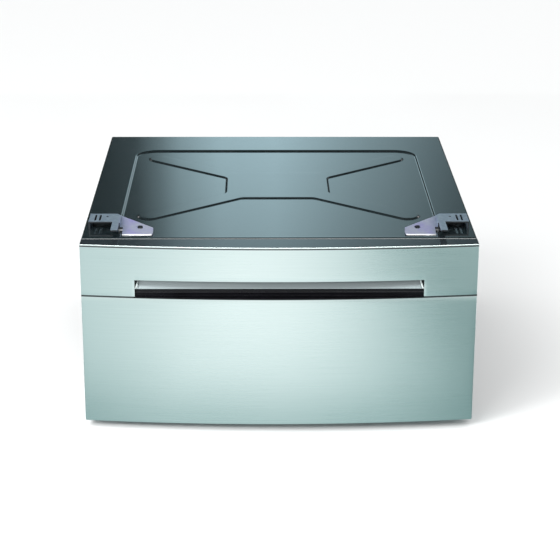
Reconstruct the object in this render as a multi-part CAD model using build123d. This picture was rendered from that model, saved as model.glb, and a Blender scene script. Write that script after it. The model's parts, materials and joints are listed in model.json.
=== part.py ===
from build123d import *
import math
import os

# Laundry pedestal with a full-width storage drawer, millimetres.
# +Z is up, the drawer opens towards -Y and the origin is on the floor, below the middle.

# ---- overall sizes -----------------------------------------------------------------
width = 686.0              # over the top panel and the drawer front
depth = 722.0              # from the middle of the bowed front to the back of the top panel
height = 345.0             # floor to the flat border of the top panel
skirt_gap = 15.0           # floor to the lower edge of the drawer front
sheet = 0.9                # side, rear and drawer sheet steel
eps = 1.0                  # overrun of cutting shapes past the faces they cut

# ---- top panel ---------------------------------------------------------------------
top_sheet = 1.2
top_flange = 18.0          # depth of the turned-down edges
top_fit = 0.1              # side panel to the inside of the turned-down edge
field_depth = 3.0          # pressed field below the border
field_slope = 8.0          # plan width of the field's sloping edge
field_side_border = 60.0
field_rear_border = 105.0
field_front_border = 9.0
field_corner = 45.0
cross_height = 2.4         # stiffening cross, above the field
cross_reach_x = 232.0      # middle of the cross to the centre of an arm's round end
cross_reach_y = 187.0
cross_arm = 45.0           # width of an arm at its foot
cross_middle_y = 10.0
hub_width = 192.0
hub_length = 174.0
hub_shift_y = 5.0
cross_corner = 10.0        # rounding where arms and hub meet
seat_depth = 0.8           # pressed seat that locates each foot retainer
seat_margin = 1.5
boss_radius = 10.0         # raised seat under each retainer screw
top_corner_round = 1.0
cross_taper = 45.0
cross_under_inset = 0.5    # hollow behind the cross, inside its outline

# ---- foot retainers (the right one is drawn, the left one is its mirror) ------------
retainer_sheet = 2.5
retainer_rise = 13.5       # top of the platform above the border
platform_outer = 9.0       # side of the pedestal to the platform's outer edge
platform_back = 214.0      # all lengths from the middle of the pedestal's depth, forwards
platform_front = 260.0
step_front = 308.0
step_width = 12.0
platform_width = 54.0
ramp_run = 7.0
wing_length = 53.0
wing_front = 294.0
wing_apex_depth = 24.0
wing_notch = 26.0          # open cut between wing and step
retainer_slot_length = 32.0
retainer_slot_width = 3.6
retainer_slot_gap = 8.0
retainer_screw_inset = 30.0    # from the ramp's foot, along the wing
retainer_screw_back = 26.0     # behind the wing's front edge
retainer_corner = 5.0
retainer_crest_skew = 9.0      # top of the wing in front of the platform's rear edge
wing_pillar = 9.0              # radius of the solid round the screw
wing_dimple = 6.5              # flat sunk seat of the screw head
retainer_rear_inset = 6.0      # rear wall's inner end, from the crest
retainer_slot_side = 11.0      # platform's outer edge to the first slot
retainer_slot_back = 7.0
retainer_hole_radius = 2.5
retainer_hole_side = 31.0
retainer_hole_back = 17.0
retainer_screw_length = 16.0

# ---- cabinet -----------------------------------------------------------------------
front_end_depth = 30.0     # drawer front at its ends, corner to cabinet
front_bow = 20.0           # how far the middle stands in front of the corners
front_gap = 2.0            # closed drawer front to cabinet
side_floor_gap = 18.1
side_top_lip = 28.0
side_bottom_lip = 16.0
side_front_lip = 25.0
side_rear_lip = 18.0
rear_setback = 6.0         # rear panel behind the turned-down edge of the top
rear_bead_rise = 2.5
rear_bead_width = 14.0
rear_bead_count = 3
rear_margin = 3.5
rear_floor_gap = 1.0
rear_bead_end = 20.0       # rear lip to the end of a bead
rear_screw_low = 50.0
rear_screw_top_gap = 40.0
rear_screw_count = 4
rail_sheet = 1.5
base_rail_width = 50.8
base_rail_height = 26.0
post_depth = 28.0
rear_post_gap = 10.0       # room for the rear screws behind the rear posts
post_sheet = 1.5
brace_depth = 34.0
brace_height = 20.0
brace_sheet = 1.2
brace_slope_gap = 2.0      # top brace behind the field's front slope
bottom_brace_height = 24.0
mount_rail_height = 60.0

# ---- levelling feet ----------------------------------------------------------------
foot_inset_x = 30.0
foot_front_y = -250.0
foot_rear_y = 285.0
pad_radius = 22.0
pad_neck_radius = 13.0
pad_height = 10.0
pad_rim = 4.0
pad_floor = 3.5
pad_edge = 1.0
stud_radius = 4.8
stud_clearance = 0.2
stud_top = 62.0
stud_chamfer = 1.0
rail_hole_clearance = 0.6
foot_collar_gap = 0.4
foot_collar = 3.0
nut_flats = 17.0
lock_nut_height = 4.6
insert_nut_height = 8.0

# ---- drawer front ------------------------------------------------------------------
skin = 0.8
front_top_gap = 1.0        # drawer front below the top panel's border
upper_front_height = 93.5  # seam to the top of the drawer front
seam_gap = 1.6
slot_length = 499.0
slot_height = 31.5
lip_depth = 7.0            # turned-in upper edge of the lower skin
hem_depth = 2.4            # folded lower edge of the upper skin, over the slot
hem_height = 8.0
skirt_flange = 14.0
cap_thickness = 2.5
cap_edge = 0.6
core_wall = 2.5
core_columns = 7
core_boss = 7.0            # half the width of a screw boss
core_boss_gap = 1.0        # upper boss under the pocket's frame
pocket_wall = 2.0
pocket_step_depth = 16.6   # behind the foremost line of the front
pocket_step_height = 14.5
pocket_back_depth = 39.0
pocket_height = 61.5
ramp_angle = 48.0
trim_sheet = 0.8
trim_end_draft = 6.5
bead_radius = 2.2
bead_height = 6.5
profile_overrun = 10.0     # profiles run out in front of the bow

# ---- drawer box --------------------------------------------------------------------
drawer_length = 538.0
drawer_floor = 48.0
drawer_top_gap = 35.8      # drawer's upper edge below the top brace
drawer_flange = 10.0
bottom_bead_count = 5
bottom_bead_width = 12.0
bottom_bead_rise = 1.5
bottom_bead_end = 59.0
bumper_radius = 7.0
bumper_clearance = 0.4
bumper_inset = 2.0
bumper_low = 60.0
bumper_top_gap = 55.0

# ---- telescopic slides -------------------------------------------------------------
slide_centre_z = 150.0
slide_thickness = 12.7
slide_length = 530.0
middle_length = 520.0
middle_edge = 0.6          # middle member reaches past the inner one's overlap
slide_front_gap = 2.0
drawer_travel = 500.0
outer_height = 45.0
slide_sheet = 1.2
race_gap = 3.0
ball_clearance = 0.3
ball_hole_clearance = 0.04
web_gap = 1.0
outer_flange = 10.4
inner_overlap = 1.0
cage_sheet = 0.4
cage_length = 200.0
cage_edge = 0.8            # cage past the balls
balls_per_row = 7
ball_pitch = 28.0
lever_length = 36.0
lever_height = 8.0
lever_thickness = 4.0
lever_tip = 5.0
lever_pin_radius = 2.0
lever_pin_clearance = 0.2
lever_y = -80.0
lever_web_gap = 0.5
lever_pin_gap = 0.2

# ---- fasteners ---------------------------------------------------------------------
screw_radius = 2.1
screw_fit = 0.05
screw_head_radius = 4.2
screw_head_height = 2.5
screw_length = 9.0
rivet_head_radius = 3.6
rivet_head_height = 1.6
head_round = 1.0
hexagon_chamfer = 0.5
recess_length = 4.4
recess_width = 1.0
recess_depth = 1.25
drill_short = 6.0
drill_long = 20.0
outer_rivet_spread = (0.15, 0.5, 0.85)     # shares of the slide's length
inner_rivet_spread = (0.06, 0.28, 0.9)
front_screw_inset = 6.0
front_screw_floor_gap = 30.0

# ---- places worked out from the sizes above ------------------------------------------
half_w = width / 2
front_y = -depth / 2
back_y = depth / 2
corner_y = front_y + front_bow
cabinet_y = corner_y + front_end_depth
front_back_y = cabinet_y - front_gap
bow_radius = (half_w ** 2 + front_bow ** 2) / (2 * front_bow)
bow_centre_y = front_y + bow_radius

top_under = height - top_sheet
field_floor = height - field_depth
field_under = field_floor - top_sheet
field_half_w = half_w - field_side_border
field_y0 = cabinet_y + field_front_border
field_y1 = back_y - field_rear_border
seat_z = height - seat_depth

side_out = half_w - top_sheet - top_fit
side_in = side_out - sheet
rear_y = back_y - rear_setback
slide_x = half_w - 29.0    # face of posts and mount rails that carries the slides
post_outer = side_in - rail_sheet
base_z = side_floor_gap + sheet
base_rail_in = side_in - base_rail_width
foot_x = half_w - foot_inset_x
side_y0 = cabinet_y + top_sheet + top_fit
front_post_y = side_y0 + sheet
rear_post_y = rear_y - sheet - rear_post_gap - post_depth
rear_brace_y = rear_y - sheet - rear_post_gap - brace_depth

front_z0 = skirt_gap
front_z1 = height - front_top_gap
seam_z = front_z1 - upper_front_height
slot_z = seam_z + slot_height
half_slot = slot_length / 2
cap_z = front_z1 - cap_thickness
panel_y = front_back_y - skin

drawer_x = slide_x - slide_thickness
drawer_top = field_under - brace_height - drawer_top_gap
drawer_y1 = front_back_y + drawer_length
pocket_under = seam_z + skin - pocket_wall
slide_y0 = cabinet_y + slide_front_gap
middle_height = outer_height - 2 * (slide_sheet + race_gap)
inner_height = middle_height - 2 * (slide_sheet + race_gap)
middle_web_x = slide_x - slide_sheet - web_gap
ball_radius = race_gap / 2 - ball_clearance
race_x = slide_x - slide_thickness / 2
ball_rows = {
    "outer": outer_height / 2 - slide_sheet - race_gap / 2,
    "inner": middle_height / 2 - slide_sheet - race_gap / 2,
}
cage_middle_y = {
    "outer": slide_y0 + (slide_length - drawer_travel / 2) / 2 + drawer_travel / 4,
    "inner": slide_y0 + (middle_length - drawer_travel / 2) / 2 + drawer_travel / 4,
}


# ---- small helpers -----------------------------------------------------------------
def block(x0, x1, y0, y1, z0, z1):
    """Box between two corners."""
    size = (abs(x1 - x0), abs(y1 - y0), abs(z1 - z0))
    return Pos((x0 + x1) / 2, (y0 + y1) / 2, (z0 + z1) / 2) * Box(*size)


def rod(start, direction, length, radius):
    """Cylinder from a start point along a direction."""
    return extrude(Plane(origin=start, z_dir=direction) * Circle(radius), length)


def prism(points, plane, length):
    """Straight prism on a closed outline."""
    return extrude(plane * make_face(Polyline(*points, close=True)), length)


def other_side(shape):
    """Mirror image across the middle of the pedestal."""
    return mirror(shape, Plane.YZ)


def save(name, *solids):
    """One STEP per node; a group keeps its solids apart."""
    shape = solids[0] if len(solids) == 1 else Compound(children=list(solids))
    export_step(shape, os.path.join("parts", name + ".step"))


def save_pair(name, shape):
    save(name + "_right", shape)
    save(name + "_left", other_side(shape))


def screw(seat, inward, hexagon=False, length=screw_length):
    """Head standing on the seat point, shank running inward."""
    out = tuple(-c for c in inward)
    face = RegularPolygon(screw_head_radius, 6) if hexagon else Circle(screw_head_radius)
    head = extrude(Plane(origin=seat, z_dir=out) * face, screw_head_height)
    top = tuple(s + o * screw_head_height for s, o in zip(seat, out))
    if hexagon:
        head = chamfer(head.faces().sort_by(Axis(seat, out))[-1].edges(), hexagon_chamfer)
    else:
        head = fillet(head.faces().sort_by(Axis(seat, out))[-1].edges(), head_round)
        cross = Rectangle(recess_length, recess_width) + Rectangle(recess_width, recess_length)
        head -= extrude(Plane(origin=top, z_dir=inward) * cross, recess_depth)
    return head + rod(seat, inward, length, screw_radius)


def rivet(seat, inward, grip):
    """Round head on the seat point, shank ending flush after its grip."""
    out = tuple(-c for c in inward)
    head = extrude(Plane(origin=seat, z_dir=out) * Circle(rivet_head_radius), rivet_head_height)
    head = fillet(head.faces().sort_by(Axis(seat, out))[-1].edges(), head_round)
    return head + rod(seat, inward, grip, screw_radius)


def drill(shape, points, direction, reach):
    """Clearance holes for screws or rivets, through both sides of each point."""
    for p in points:
        start = tuple(c - d * reach for c, d in zip(p, direction))
        shape -= rod(start, direction, 2 * reach, screw_radius + screw_fit)
    return shape


def channel_x(x0, x1, y0, y1, z0, z1, wall, open_side):
    """Channel between two corners with one of its six sides and both ends open."""
    outer = block(x0, x1, y0, y1, z0, z1)
    limits = [[x0, x1], [y0, y1], [z0, z1]]
    run = max(range(3), key=lambda i: limits[i][1] - limits[i][0])
    for i, pair in enumerate(limits):
        grow_low = eps if i == run or open_side == (i, -1) else -wall
        grow_high = eps if i == run or open_side == (i, 1) else -wall
        pair[0] -= grow_low
        pair[1] += grow_high
    return outer - block(*limits[0], *limits[1], *limits[2])


# ---- fastener places ---------------------------------------------------------------
def both_sides(points):
    return [p for x, y, z in points for p in ((x, y, z), (-x, y, z))]


retainer_ramp_x = half_w - platform_outer - platform_width - ramp_run
retainer_screw_x = retainer_ramp_x - retainer_screw_inset
retainer_screw_y = -wing_front + retainer_screw_back
retainer_points = both_sides([(retainer_screw_x, retainer_screw_y, seat_z)])
rear_screw_x = side_out - side_rear_lip / 2
rear_screw_pitch = (height - rear_screw_top_gap - rear_screw_low) / (rear_screw_count - 1)
rear_points = both_sides([(rear_screw_x, rear_y, rear_screw_low + i * rear_screw_pitch)
                          for i in range(rear_screw_count)])
outer_rivet_y = [slide_y0 + f * slide_length for f in outer_rivet_spread]
outer_rivets = both_sides([(slide_x + rail_sheet, y, slide_centre_z) for y in outer_rivet_y])
inner_rivet_y = [slide_y0 + f * slide_length for f in inner_rivet_spread]
inner_rivets = both_sides([(drawer_x - sheet, y, slide_centre_z) for y in inner_rivet_y])
front_screw_x = drawer_x - sheet - front_screw_inset
front_screw_low = drawer_floor + front_screw_floor_gap
front_screw_high = pocket_under - core_wall - core_boss - core_boss_gap
front_screw_z = (front_screw_low, (front_screw_low + front_screw_high) / 2, front_screw_high)
front_points = both_sides([(front_screw_x, front_back_y + sheet, z) for z in front_screw_z])
foot_points = [(sx * foot_x, y) for y in (foot_front_y, foot_rear_y) for sx in (-1, 1)]
foot_names = ["front_left", "front_right", "rear_left", "rear_right"]


# ---- top panel ---------------------------------------------------------------------
def field_plan(grow):
    plan = Rectangle(2 * (field_half_w + grow), field_y1 - field_y0 + 2 * grow)
    plan = fillet(plan.vertices(), field_corner + grow)
    return Pos(0, (field_y0 + field_y1) / 2) * plan


def cross_plan(grow):
    reach = math.hypot(cross_reach_x, cross_reach_y)
    turn = math.degrees(math.atan2(cross_reach_y, cross_reach_x))
    arm = SlotCenterToCenter(2 * reach, cross_arm)
    plan = Rot(0, 0, turn) * arm + Rot(0, 0, -turn) * arm
    plan += Pos(0, hub_shift_y) * Rectangle(hub_width, hub_length)
    inner = [v for v in plan.vertices() if abs(v.X) < hub_width * 0.6]
    plan = fillet(inner, cross_corner)
    if grow:
        plan = offset(plan, grow)
    return Pos(0, cross_middle_y) * plan


def seat_plan(grow):
    """Outline of a foot retainer on the top, for its pressed seat."""
    x_wing = retainer_ramp_x - wing_length
    x_out = half_w - platform_outer
    x_step = retainer_ramp_x + ramp_run + step_width
    points = [
        (x_wing, -wing_front),
        (retainer_ramp_x, -wing_front),
        (retainer_ramp_x, -step_front),
        (x_step, -step_front),
        (x_out, -step_front),
        (x_out, -platform_back),
        (retainer_ramp_x + ramp_run, -platform_back),
        (x_wing, -wing_front + wing_apex_depth),
    ]
    return offset(make_face(Polyline(*points, close=True)), grow, kind=Kind.INTERSECTION)


def top_panel():
    slope = math.degrees(math.atan2(field_slope, field_depth))
    side_grow = top_sheet / math.cos(math.radians(slope))
    shell = block(-half_w, half_w, cabinet_y, back_y, height - top_flange, height)
    shell -= block(-half_w + top_sheet, half_w - top_sheet, cabinet_y + top_sheet,
                   back_y - top_sheet, height - top_flange - eps, top_under)
    shell = fillet(shell.edges().filter_by(Axis.Z).group_by(Axis.Y)[0], top_corner_round)
    tub_plan = Pos(0, 0, height) * field_plan(side_grow)
    tub = extrude(tub_plan, -(field_depth + top_sheet), taper=slope)
    tub &= block(-half_w + top_sheet, half_w - top_sheet, cabinet_y + top_sheet,
                 back_y - top_sheet, field_under - eps, height)
    shell += tub
    for flip in (False, True):
        seat = seat_plan(seat_margin)
        seat = mirror(seat, Plane.YZ) if flip else seat
        shell += extrude(Pos(0, 0, seat_z - top_sheet) * seat, top_sheet)
    shell -= extrude(Pos(0, 0, height) * field_plan(0), -field_depth, taper=slope)
    for flip in (False, True):
        seat = seat_plan(seat_margin)
        seat = mirror(seat, Plane.YZ) if flip else seat
        shell -= extrude(Pos(0, 0, seat_z) * seat, seat_depth + eps)
    shell += extrude(Pos(0, 0, field_floor) * cross_plan(0), cross_height,
                     taper=cross_taper)
    shell -= extrude(Pos(0, 0, field_under) * cross_plan(-cross_under_inset), cross_height,
                     taper=cross_taper)
    for x, y, z in retainer_points:
        shell += Pos(x, y) * extrude(Pos(0, 0, field_under) * Circle(boss_radius),
                                     seat_z - field_under)
        shell -= Pos(x, y) * extrude(Pos(0, 0, field_under - eps) * Circle(boss_radius - top_sheet),
                                     seat_z - field_under - top_sheet + eps)
    return drill(shell, retainer_points, (0, 0, 1), drill_long)


def wing_plan(x_wing, x_foot, x_crest, grow=0.0):
    """Outline of the wing, notched beside the hood's step."""
    y_front = -wing_front
    y_notch = y_front + wing_notch
    points = [(x_wing, y_front), (x_foot, y_front), (x_foot, y_notch), (x_crest, y_notch),
              (x_crest, -platform_back - retainer_crest_skew), (x_wing, y_front + wing_apex_depth)]
    plan = make_face(Polyline(*points, close=True))
    plan = fillet(plan.vertices().group_by(Axis.X)[0], retainer_corner)
    return offset(plan, grow) if grow else plan


def retainer_wing(x_foot, x_crest):
    """Hollow wing that rises from its low front edge to the hood's height."""
    t = retainer_sheet
    x_wing = x_foot - wing_length
    y0 = -wing_front
    y1 = -platform_back - retainer_crest_skew
    low = seat_z + t
    high = height + retainer_rise
    drop = t / math.cos(math.atan2(high - low, y1 - y0))
    start = Plane.YZ.offset(x_wing - eps)
    run = x_crest - x_wing + 2 * eps
    upper = prism([(y0, seat_z), (y0, low), (y1, high), (y1, seat_z)], start, run)
    under = prism([(y0, seat_z - eps), (y0, low - drop), (y1, high - drop), (y1, seat_z - eps)],
                  start, run)
    tall = high - seat_z + 2 * eps
    base = Pos(0, 0, seat_z - eps)
    wing = extrude(base * wing_plan(x_wing, x_foot, x_crest), tall) & upper
    hollow = extrude(base * wing_plan(x_wing, x_foot, x_crest, -t), tall) & under
    seat = (retainer_screw_x, retainer_screw_y, seat_z - eps)
    wing -= hollow - rod(seat, (0, 0, 1), tall, wing_pillar)
    dimple = (retainer_screw_x, retainer_screw_y, low)
    return wing - rod(dimple, (0, 0, 1), tall, wing_dimple)


def foot_retainer():
    """Pressed plate: rising wing and a raised hood that is open to the front."""
    t = retainer_sheet
    x0 = retainer_ramp_x
    x1 = x0 + ramp_run
    x_step = x1 + step_width
    x_out = half_w - platform_outer
    hood_z = height + retainer_rise
    y_crest = -platform_back - retainer_crest_skew
    plate = retainer_wing(x0, x1 + eps)
    hood_outline = Polyline((x1, -step_front), (x_step, -step_front), (x_step, -platform_front),
                            (x_out, -platform_front), (x_out, -platform_back),
                            (x1 + retainer_rear_inset, -platform_back), (x1, y_crest), close=True)
    plate += extrude(Pos(0, 0, hood_z - t) * make_face(hood_outline), t)
    plate += block(x1 + eps - t, x1 + eps, -wing_front + wing_notch, y_crest, seat_z, hood_z)
    plate += block(x_out - t, x_out, -platform_front, -platform_back, seat_z, hood_z)
    plate += block(x1 + retainer_rear_inset, x_out, -platform_back - t, -platform_back, seat_z, hood_z)
    slot_y = -platform_back - retainer_slot_back - retainer_slot_length / 2
    for i in range(2):
        slot = SlotOverall(retainer_slot_length, retainer_slot_width, rotation=90)
        at = Pos(x_out - retainer_slot_side - i * retainer_slot_gap, slot_y, hood_z - 2 * t)
        plate -= at * extrude(slot, 3 * t)
    hole = Pos(x_out - retainer_hole_side, -platform_back - retainer_hole_back, hood_z - 2 * t)
    plate -= hole * extrude(Circle(retainer_hole_radius), 3 * t)
    points = [p for p in retainer_points if p[0] > 0]
    return drill(plate, points, (0, 0, 1), drill_short)


# ---- cabinet -----------------------------------------------------------------------
def side_panel():
    top = top_under
    y0 = side_y0
    panel = block(side_in, side_out, y0, rear_y, side_floor_gap, top)
    panel += block(side_out - side_top_lip, side_out, y0, rear_y, top - sheet, top)
    panel += block(side_out - side_bottom_lip, side_out, y0, rear_y, side_floor_gap, base_z)
    panel += block(side_out - side_front_lip, side_out, y0, y0 + sheet, side_floor_gap, top)
    panel += block(side_out - side_rear_lip, side_out, rear_y - sheet, rear_y, side_floor_gap, top)
    notch = seat_plan(seat_margin + top_fit)
    panel -= extrude(Pos(0, 0, top - sheet) * notch, sheet + eps)
    right = [p for p in rear_points if p[0] > 0]
    return drill(panel, right, (0, 1, 0), drill_short)


def rear_panel():
    half = side_out - rear_margin
    z0 = base_z + rear_floor_gap
    z1 = top_under - rear_margin
    plate = block(-half, half, rear_y, rear_y + sheet, z0, z1)
    pitch = (z1 - z0) / (rear_bead_count + 1)
    length = 2 * (half - side_rear_lip - rear_bead_end)
    for i in range(rear_bead_count):
        z = z0 + (i + 1) * pitch
        bead = SlotOverall(length, rear_bead_width)
        inner = SlotOverall(length - 2 * sheet, rear_bead_width - 2 * sheet)
        face = Plane(origin=(0, rear_y + sheet, z), x_dir=(1, 0, 0), z_dir=(0, -1, 0))
        plate += extrude(face * bead, rear_bead_rise + sheet)
        plate -= extrude(face * inner, rear_bead_rise)
    return drill(plate, rear_points, (0, 1, 0), drill_short)


def base_rail():
    y0 = side_y0 + sheet
    y1 = rear_y - sheet
    rail = channel_x(base_rail_in, side_in, y0, y1, base_z, base_z + base_rail_height,
                     rail_sheet, (2, 1))
    for x, y in foot_points:
        if x > 0:
            rail -= rod((x, y, base_z - eps), (0, 0, 1), rail_sheet + 2 * eps,
                        stud_radius + rail_hole_clearance)
    return rail


def bottom_brace(y0):
    return channel_x(-base_rail_in, base_rail_in, y0, y0 + brace_depth, base_z,
                     base_z + bottom_brace_height, brace_sheet, (2, 1))


def top_brace():
    y0 = field_y0 + field_slope + brace_slope_gap
    brace = channel_x(-slide_x, slide_x, y0, y0 + brace_depth, field_under - brace_height,
                      field_under, brace_sheet, (2, -1))
    return drill(brace, retainer_points, (0, 0, 1), drill_long)


def corner_post(y0):
    z0 = base_z + rail_sheet
    return channel_x(slide_x, post_outer, y0, y0 + post_depth, z0, top_under - sheet,
                     post_sheet, (0, 1))


def slide_mount_rail():
    rail = channel_x(slide_x, side_in, front_post_y + post_depth, rear_post_y,
                     slide_centre_z - mount_rail_height / 2, slide_centre_z + mount_rail_height / 2,
                     rail_sheet, (0, 1))
    return drill(rail, [p for p in outer_rivets if p[0] > 0], (1, 0, 0), drill_short)


# ---- levelling feet ----------------------------------------------------------------
def foot_pad(x, y):
    half = [(0, 0), (pad_radius - pad_edge, 0), (pad_radius, pad_edge), (pad_radius, pad_rim),
            (pad_neck_radius, pad_height), (0, pad_height)]
    pad = revolve(make_face(Plane.XZ * Polyline(*half, close=True)), Axis.Z)
    pad -= rod((0, 0, pad_floor), (0, 0, 1), pad_height, stud_radius + 2 * stud_clearance)
    return Pos(x, y) * pad


def foot_stud(x, y):
    z_spigot = pad_floor + foot_collar_gap
    stud = rod((0, 0, z_spigot), (0, 0, 1), stud_top - z_spigot, stud_radius)
    stud = chamfer(stud.edges().group_by(Axis.Z)[-1], stud_chamfer)
    collar = RegularPolygon(nut_flats / 2, 6, major_radius=False)
    stud += extrude(Pos(0, 0, pad_height + foot_collar_gap) * collar, foot_collar)
    return Pos(x, y) * stud


def foot_nut(x, y, z, tall):
    nut = extrude(RegularPolygon(nut_flats / 2, 6, major_radius=False), tall)
    nut -= rod((0, 0, -eps), (0, 0, 1), tall + 2 * eps, stud_radius + stud_clearance)
    return Pos(x, y, z) * nut


# ---- drawer front ------------------------------------------------------------------
def front_slab(inset, z0, z1, rear=front_back_y):
    """Bowed block: the front's plan, pulled in by an inset at the bow and both ends."""
    radius = bow_radius - inset
    half = half_w - inset
    y_end = bow_centre_y - math.sqrt(radius ** 2 - half ** 2)
    bow = ThreePointArc((-half, y_end), (0, bow_centre_y - radius), (half, y_end))
    rest = Polyline((half, y_end), (half, rear), (-half, rear), (-half, y_end))
    return extrude(Pos(0, 0, z0) * make_face(bow + rest), z1 - z0)


def curved_lip(z0, reach):
    """Turned-in edge that follows the bow, one skin thick."""
    return front_slab(0, z0, z0 + skin) - front_slab(reach, z0 - eps, z0 + skin + eps,
                                                     front_back_y + eps)


def upper_skin():
    z0 = seam_z + seam_gap / 2
    shell = front_slab(0, z0, front_z1)
    shell -= front_slab(skin, z0 - eps, front_z1 + eps, front_back_y + eps)
    shell -= block(-half_slot, half_slot, front_y - eps, cabinet_y, z0 - eps, slot_z)
    hem = front_slab(0, slot_z, slot_z + hem_height)
    hem -= front_slab(hem_depth, slot_z - eps, slot_z + hem_height + eps, front_back_y + eps)
    hem &= block(-half_slot, half_slot, front_y - eps, panel_y, slot_z, slot_z + hem_height)
    return shell + hem


def lower_skin():
    z1 = seam_z - seam_gap / 2
    shell = front_slab(0, front_z0, z1)
    shell -= front_slab(skin, front_z0 - eps, z1 + eps, front_back_y + eps)
    shell += curved_lip(front_z0, skirt_flange)
    lip = curved_lip(z1 - skin, lip_depth) & block(-half_slot, half_slot, front_y - eps, panel_y,
                                                   z1 - skin, z1)
    return shell + lip


def pocket_section():
    """Profile of the finger pocket across the front, open forwards."""
    y_step = front_y + pocket_step_depth
    y_back = front_y + pocket_back_depth
    z_floor = seam_z + skin
    z_step = seam_z + pocket_step_height
    z_ramp = z_step + (y_back - y_step) * math.tan(math.radians(ramp_angle))
    z_top = seam_z + pocket_height
    return [(front_y - profile_overrun, z_floor), (y_step, z_floor), (y_step, z_step), (y_back, z_ramp),
            (y_back, z_top), (front_y - profile_overrun, z_top)]


def along_front(points, half_length, grow=0.0):
    """Profile in the YZ plane run along the front."""
    face = make_face(Polyline(*points, close=True))
    if grow:
        face = offset(face, grow, kind=Kind.INTERSECTION)
    return extrude(Plane.YZ.offset(-half_length) * face, 2 * half_length)


def handle_pocket(skins):
    section = pocket_section()
    body = along_front(section, half_slot + pocket_wall, pocket_wall)
    body &= front_slab(skin, front_z0, front_z1)
    sunk = [(y, z - trim_sheet / math.cos(math.radians(ramp_angle))) if i in (2, 3) else (y, z)
            for i, (y, z) in enumerate(section)]
    body -= along_front(sunk, half_slot)
    y_step, z_floor = section[1]
    bead = rod((-half_slot, y_step, z_floor + bead_height), (1, 0, 0), 2 * half_slot, bead_radius)
    bead -= block(-half_slot - eps, half_slot + eps, y_step,
                  y_step + profile_overrun, z_floor, slot_z)
    body += bead
    for piece in skins:
        body -= piece
    return body


def handle_trim(skins):
    """Bright scoop plate on the pocket's ramp, with drafted ends."""
    section = pocket_section()
    (ys, zs), (yb, zb) = section[2], section[3]
    drop = trim_sheet / math.cos(math.radians(ramp_angle))
    plate = along_front([(ys, zs), (yb, zb), (yb, zb - drop), (ys, zs - drop)], half_slot)
    above = along_front([(ys, zs), (yb, zb), (ys, zb)], half_slot)
    wedge = [(half_slot, zs), (half_slot - trim_end_draft, zs), (half_slot, zb)]
    wedge = Pos(0, depth, 0) * prism(wedge, Plane.XZ, 2 * depth)
    ends = above & wedge
    trim = plate + ends + other_side(ends)
    for piece in skins:
        trim -= piece
    return trim


def top_cap():
    cap = front_slab(skin, cap_z, front_z1)
    return chamfer(cap.edges().group_by(Axis.Z)[-1].sort_by(Axis.Y)[-1], cap_edge)


def front_core(others):
    """Moulded carrier behind the skins: outer wall, ribs and a window for the pocket."""
    z0 = front_z0 + skin
    solid = front_slab(skin, z0, cap_z, panel_y)
    core = solid
    inside = front_slab(skin + core_wall, z0 - eps, cap_z + eps, panel_y + eps)
    section = pocket_section()
    win_z1 = section[4][1] + pocket_wall
    win_x = half_slot + pocket_wall
    limit = half_w - skin - core_wall
    pitch = 2 * limit / core_columns
    cells = []
    for i in range(core_columns):
        xa = -limit + i * pitch + core_wall / 2 * (i > 0)
        xb = -limit + (i + 1) * pitch - core_wall / 2 * (i < core_columns - 1)
        cells.append((xa, xb, z0 + core_wall, pocket_under - core_wall))
        cells.append((xa, xb, win_z1 + core_wall, cap_z - core_wall))
    for sign in (-1, 1):
        cells.append((sign * (win_x + core_wall), sign * limit, pocket_under, win_z1))
    for xa, xb, za, zb in cells:
        core -= inside & block(xa, xb, front_y, cabinet_y, za, zb)
    core -= block(-win_x, win_x, front_y - eps, cabinet_y, pocket_under, win_z1)
    for x, y, z in front_points:
        core += solid & block(x - core_boss, x + core_boss, front_y, panel_y,
                              z - core_boss, z + core_boss)
    core = drill(core, front_points, (0, 1, 0), drill_long)
    for piece in others:
        core -= piece
    return core


def inner_panel():
    half = half_w - skin
    panel = block(-half, half, panel_y, front_back_y, front_z0 + skin, cap_z)
    return drill(panel, front_points, (0, 1, 0), drill_long)


# ---- drawer box --------------------------------------------------------------------
def drawer_side():
    y0 = front_back_y
    x_in = drawer_x - sheet
    side = block(x_in, drawer_x, y0, drawer_y1, drawer_floor, drawer_top)
    side += block(x_in - drawer_flange, x_in, y0, drawer_y1, drawer_top - sheet, drawer_top)
    side += block(x_in - drawer_flange, x_in, y0, y0 + sheet, drawer_floor + sheet, drawer_top)
    right = [p for p in front_points if p[0] > 0]
    side = drill(side, right, (0, 1, 0), drill_short)
    return drill(side, [p for p in inner_rivets if p[0] > 0], (1, 0, 0), drill_short)


def drawer_back():
    x = drawer_x
    back = block(-x, x, drawer_y1, drawer_y1 + sheet, drawer_floor, drawer_top)
    x_lip = drawer_x - sheet - drawer_flange
    back += block(-x_lip, x_lip, drawer_y1 - drawer_flange, drawer_y1,
                  drawer_top - sheet, drawer_top)
    return back


def drawer_bottom():
    half = drawer_x - sheet
    plate = block(-half, half, front_back_y, drawer_y1, drawer_floor, drawer_floor + sheet)
    length = drawer_length - 2 * bottom_bead_end
    pitch = 2 * half / (bottom_bead_count + 1)
    bead = SlotOverall(length, bottom_bead_width, rotation=90)
    hollow = SlotOverall(length - 2 * sheet, bottom_bead_width - 2 * sheet, rotation=90)
    for i in range(bottom_bead_count):
        at = Pos((i + 1) * pitch - half, (front_back_y + drawer_y1) / 2, drawer_floor)
        plate += at * extrude(bead, sheet + bottom_bead_rise)
        plate -= at * Pos(0, 0, -eps) * extrude(hollow, bottom_bead_rise + eps)
    return plate


def bumpers():
    x = half_w - side_front_lip / 2 - bumper_inset
    thick = front_gap + top_sheet + top_fit - bumper_clearance
    spots = both_sides([(x, front_back_y, z) for z in (bumper_low, height - bumper_top_gap)])
    return [rod(p, (0, 1, 0), thick, bumper_radius) for p in spots]


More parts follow.
